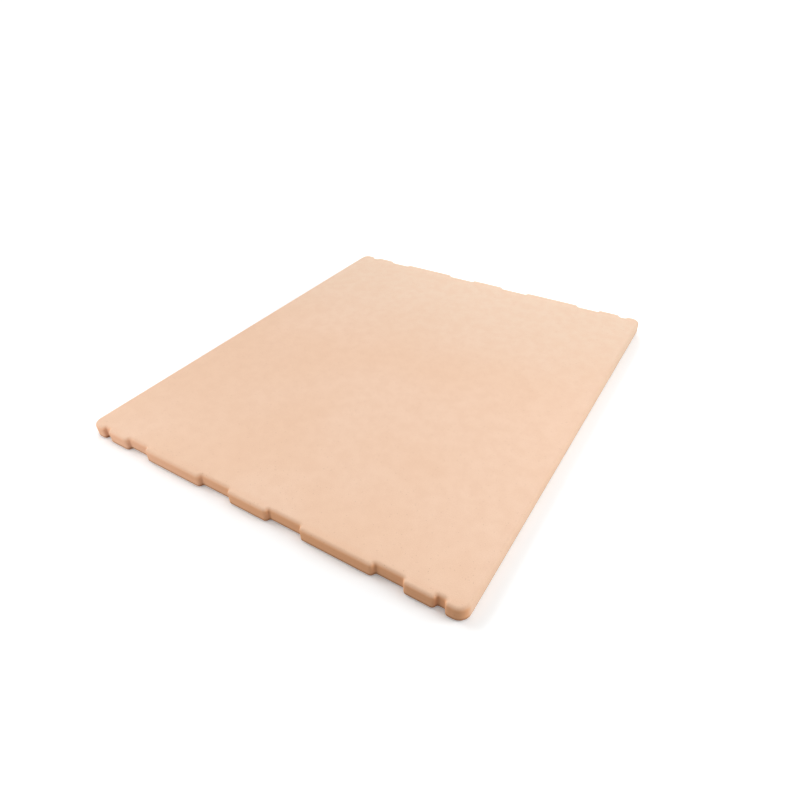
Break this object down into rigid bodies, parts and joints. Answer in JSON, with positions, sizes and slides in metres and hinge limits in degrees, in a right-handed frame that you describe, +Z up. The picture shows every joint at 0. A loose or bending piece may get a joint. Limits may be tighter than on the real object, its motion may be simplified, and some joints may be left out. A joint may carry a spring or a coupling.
{
  "type": "pizza stone",
  "caption": "Flat rectangular ceramic baking slab with rounded corners, rolled rims and shallow notches along its short edges, laid in an oven or grill to bake flat breads on.",
  "frame": {"origin": "middle of the underside, on the surface the slab lies on", "axes": "+Z up, out of the baking face; +X across the slab, along the two notched edges; +Y along the two plain edges, from the front notched edge to the back one"},
  "size_m": [0.3556, 0.4064, 0.0127],
  "materials": {
    "fired_cordierite": "matte, dry, finely granular, unglazed"
  },
  "bodies": {
    "root": {"baking_stone": "fired_cordierite"}
  },
  "joints": []
}
